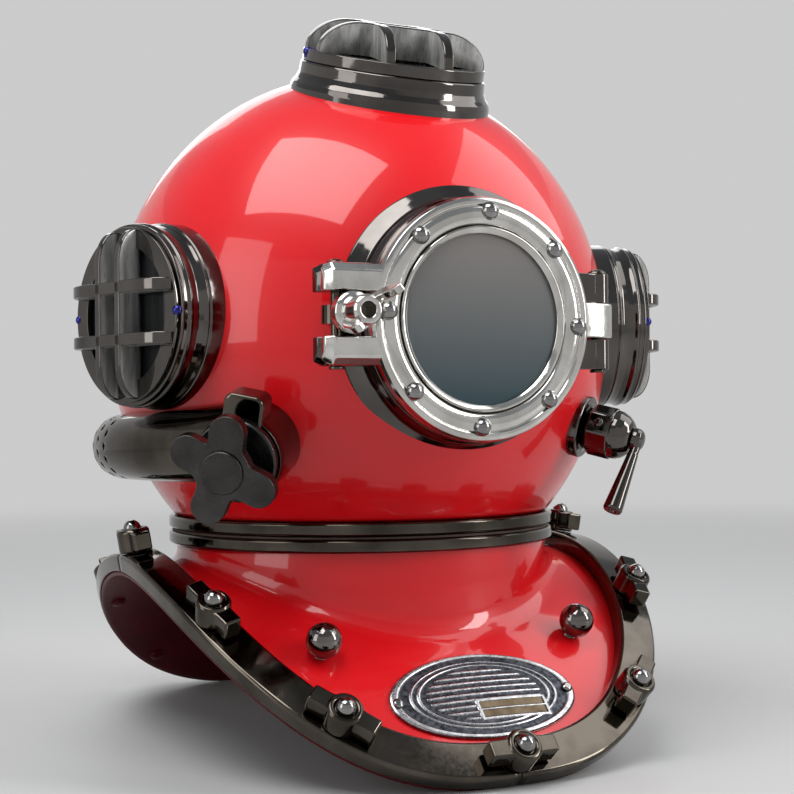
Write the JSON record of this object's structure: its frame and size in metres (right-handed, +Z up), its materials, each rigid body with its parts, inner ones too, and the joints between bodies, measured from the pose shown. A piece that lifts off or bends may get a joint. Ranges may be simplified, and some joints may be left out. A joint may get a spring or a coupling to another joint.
{
  "type": "diving helmet",
  "caption": "Hard-hat diving helmet: round dome with guarded windows, hinged front window, valves and a clamped saddle-shaped breastplate.",
  "frame": {"origin": "on the neck axis at the level of the table that the breastplate stands on", "axes": "+Z up, -Y the way the front window faces, +X the wearer's left"},
  "size_m": [0.3864, 0.427, 0.4502],
  "materials": {
    "red_paint": "gloss clear coat over red",
    "blackened_metal": "polished black nickel",
    "nickel": "polished nickel",
    "leather": "oiled",
    "plate_metal": "worn satin",
    "gasket_rubber": "matt",
    "window_glass": "clear",
    "satin_dark": "satin dark",
    "blue_steel": "gloss blue",
    "valve_brass": "polished"
  },
  "bodies": {
    "breastplate": {"breastplate_shell": "red_paint", "breastplate_ring": "blackened_metal", "neck_washer": "leather", "brail_front_right": "blackened_metal", "brail_front_left": "blackened_metal", "brail_rear_left": "blackened_metal", "brail_rear_right": "blackened_metal", "brail_studs": "blackened_metal", "brail_nuts": "blackened_metal", "lanyard_studs": "blackened_metal", "data_plate": "plate_metal", "plate_screws": "nickel", "latch_bracket": "blackened_metal"},
    "bonnet": {"bonnet_shell": "red_paint", "bonnet_ring": "blackened_metal", "front_frame": "blackened_metal", "frame_gasket": "gasket_rubber", "hinge_pin": "blackened_metal", "latch_pin": "blackened_metal", "side_frame_left": "blackened_metal", "side_frame_right": "blackened_metal", "side_glass_left": "window_glass", "side_glass_right": "window_glass", "side_guard_left": "blackened_metal", "side_guard_right": "blackened_metal", "top_frame": "blackened_metal", "top_glass": "window_glass", "top_guard": "blackened_metal", "guard_screws": "blue_steel", "exhaust_body": "blackened_metal", "exhaust_horn": "blackened_metal", "exhaust_cover": "blackened_metal", "spit_cock_body": "blackened_metal", "transceiver_cup": "blackened_metal", "transceiver_lid": "nickel", "air_elbow": "blackened_metal", "phone_elbow": "blackened_metal"},
    "faceplate": {"door_ring": "nickel", "door_gasket": "gasket_rubber", "door_glass": "window_glass", "door_bezel": "nickel", "door_screw_set": "nickel"},
    "swing_bolt": {"swing_bolt": "blackened_metal"},
    "swing_nut": {"wing_nut": "nickel"},
    "handwheel": {"exhaust_handwheel": "satin_dark"},
    "exhaust_valve": {"chin_valve": "valve_brass"},
    "cock_lever": {"spit_cock_lever": "satin_dark"},
    "neck_latch": {"neck_latch": "blackened_metal"}
  },
  "joints": [
    {"name": "bonnet_turn", "type": "hinge", "parent": "breastplate", "child": "bonnet", "pos_m": [0, 0, 0.1292], "axis": [0, 0, 1], "range_deg": [0, 45]},
    {"name": "faceplate_hinge", "type": "hinge", "parent": "bonnet", "child": "faceplate", "pos_m": [0.084, -0.152, 0.253], "axis": [0, 0, 1], "range_deg": [0, 115]},
    {"name": "swing_bolt_hinge", "type": "hinge", "parent": "bonnet", "child": "swing_bolt", "pos_m": [-0.083, -0.152, 0.2535], "axis": [0, 0, -1], "range_deg": [0, 100]},
    {"name": "wing_nut_spin", "type": "hinge", "parent": "swing_bolt", "child": "swing_nut", "pos_m": [-0.083, -0.152, 0.2535], "axis": [0, -1, 0], "continuous": true},
    {"name": "handwheel_turn", "type": "hinge", "parent": "bonnet", "child": "handwheel", "pos_m": [-0.10848, -0.1008, 0.186], "axis": [-0.6064, -0.7569, -0.2436], "continuous": true},
    {"name": "chin_valve_push", "type": "slide", "parent": "bonnet", "child": "exhaust_valve", "axis": [-0.6064, -0.7569, -0.2436], "range_m": [0, 0.006], "stiffness_N_per_m": 300},
    {"name": "spit_cock_turn", "type": "hinge", "parent": "bonnet", "child": "cock_lever", "pos_m": [0.09559, -0.11596, 0.192], "axis": [0.6172, -0.7487, -0.2419], "range_deg": [0, 90]},
    {"name": "neck_latch_hinge", "type": "hinge", "parent": "breastplate", "child": "neck_latch", "pos_m": [0, 0.128, 0.116], "axis": [1, 0, 0], "range_deg": [0, 90]}
  ]
}
